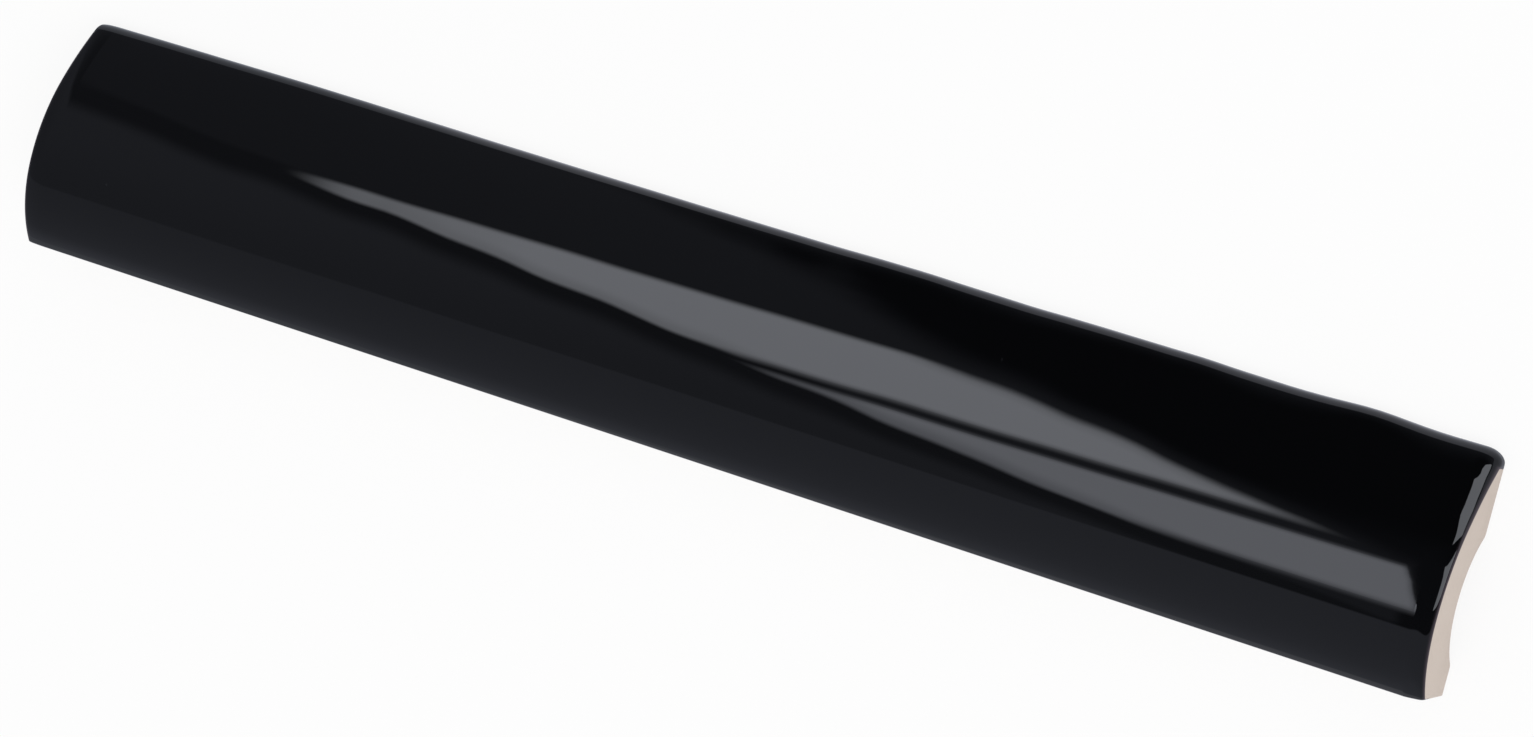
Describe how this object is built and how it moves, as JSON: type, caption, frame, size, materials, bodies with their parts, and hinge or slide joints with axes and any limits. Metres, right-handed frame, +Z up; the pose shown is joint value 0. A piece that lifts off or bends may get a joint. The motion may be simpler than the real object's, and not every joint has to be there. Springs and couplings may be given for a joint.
{
  "type": "bullnose tile",
  "caption": "Glazed ceramic bullnose trim strip with a convex face falling to a rounded nose edge, square ends, a square butt edge and an arched keying channel along its back.",
  "frame": {"origin": "middle of the bedding plane, under the middle of the strip's length and width", "axes": "+X along the strip, +Y across it from the square butt edge to the rounded nose edge, +Z up from the bedding plane to the glazed face"},
  "size_m": [0.2, 0.03, 0.0107],
  "materials": {
    "glazed_ceramic": "glossy black glaze over pale pinkish-beige biscuit, which stays bare on the ends, the butt edge and the back"
  },
  "bodies": {
    "root": {"bullnose_tile": "glazed_ceramic"}
  },
  "joints": []
}
